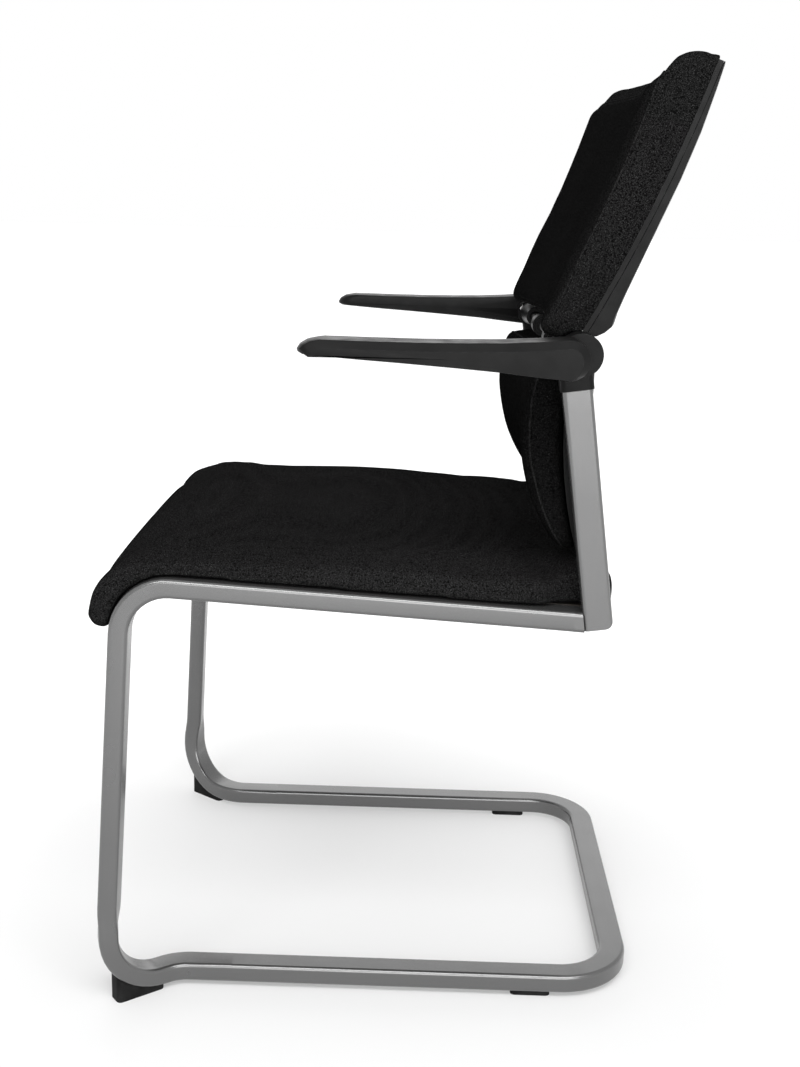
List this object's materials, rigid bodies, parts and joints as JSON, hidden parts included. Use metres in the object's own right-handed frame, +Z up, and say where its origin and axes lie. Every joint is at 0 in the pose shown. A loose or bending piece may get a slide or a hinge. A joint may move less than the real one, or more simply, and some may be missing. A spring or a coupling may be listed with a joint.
{
  "type": "cantilever chair",
  "caption": "Free-standing conference chair on a flat-tube runner frame, with a padded seat, a fixed lumbar pad, a tilting upper back and slim arm rests.",
  "frame": {"origin": "on the floor under the middle of the chair's width and depth", "axes": "+Z up, -Y towards the chair's front, +Y towards its back, +X towards the arm rest seen in the picture"},
  "size_m": [0.604, 0.5866, 0.9145],
  "materials": {
    "coated_steel": "silver-grey powder coat, satin",
    "zinc_steel": "zinc-plated steel",
    "black_plastic": "black moulded plastic, fine satin grain",
    "cloth": "black woven upholstery with a fine grey fleck",
    "plywood": "moulded plywood, stained black"
  },
  "bodies": {
    "chair": {"left_side_tube": "coated_steel", "right_side_tube": "coated_steel", "floor_loop_tube": "coated_steel", "left_upright": "coated_steel", "right_upright": "coated_steel", "left_rail_socket": "coated_steel", "right_rail_socket": "coated_steel", "left_front_foot": "black_plastic", "right_front_foot": "black_plastic", "left_rear_glide": "black_plastic", "right_rear_glide": "black_plastic", "front_cross_bar": "coated_steel", "rear_cross_bar": "coated_steel", "seat_pan": "plywood", "seat_screws": "zinc_steel", "seat_cushion": "cloth", "left_cap": "black_plastic", "right_cap": "black_plastic", "left_hinge_bush": "black_plastic", "right_hinge_bush": "black_plastic", "left_hinge_sleeve": "black_plastic", "right_hinge_sleeve": "black_plastic", "left_return_spring": "zinc_steel", "right_return_spring": "zinc_steel", "left_arm": "black_plastic", "right_arm": "black_plastic", "arm_screws": "zinc_steel", "lower_back_pad": "cloth", "lower_back_shell": "black_plastic", "left_back_bracket": "coated_steel", "right_back_bracket": "coated_steel", "bracket_screws": "zinc_steel"},
    "upper_back": {"upper_back_pad": "cloth", "upper_back_carrier": "black_plastic", "upper_back_cover": "black_plastic", "left_hinge_lug": "black_plastic", "right_hinge_lug": "black_plastic", "lug_screws": "zinc_steel", "hinge_shaft": "zinc_steel", "shaft_rings": "black_plastic"}
  },
  "joints": [
    {"name": "back_tilt", "type": "hinge", "parent": "chair", "child": "upper_back", "pos_m": [0, 0.149, 0.65], "axis": [-1, 0, 0], "range_deg": [0, 10], "stiffness_Nm_per_rad": 40, "springref_deg": -5.73}
  ]
}
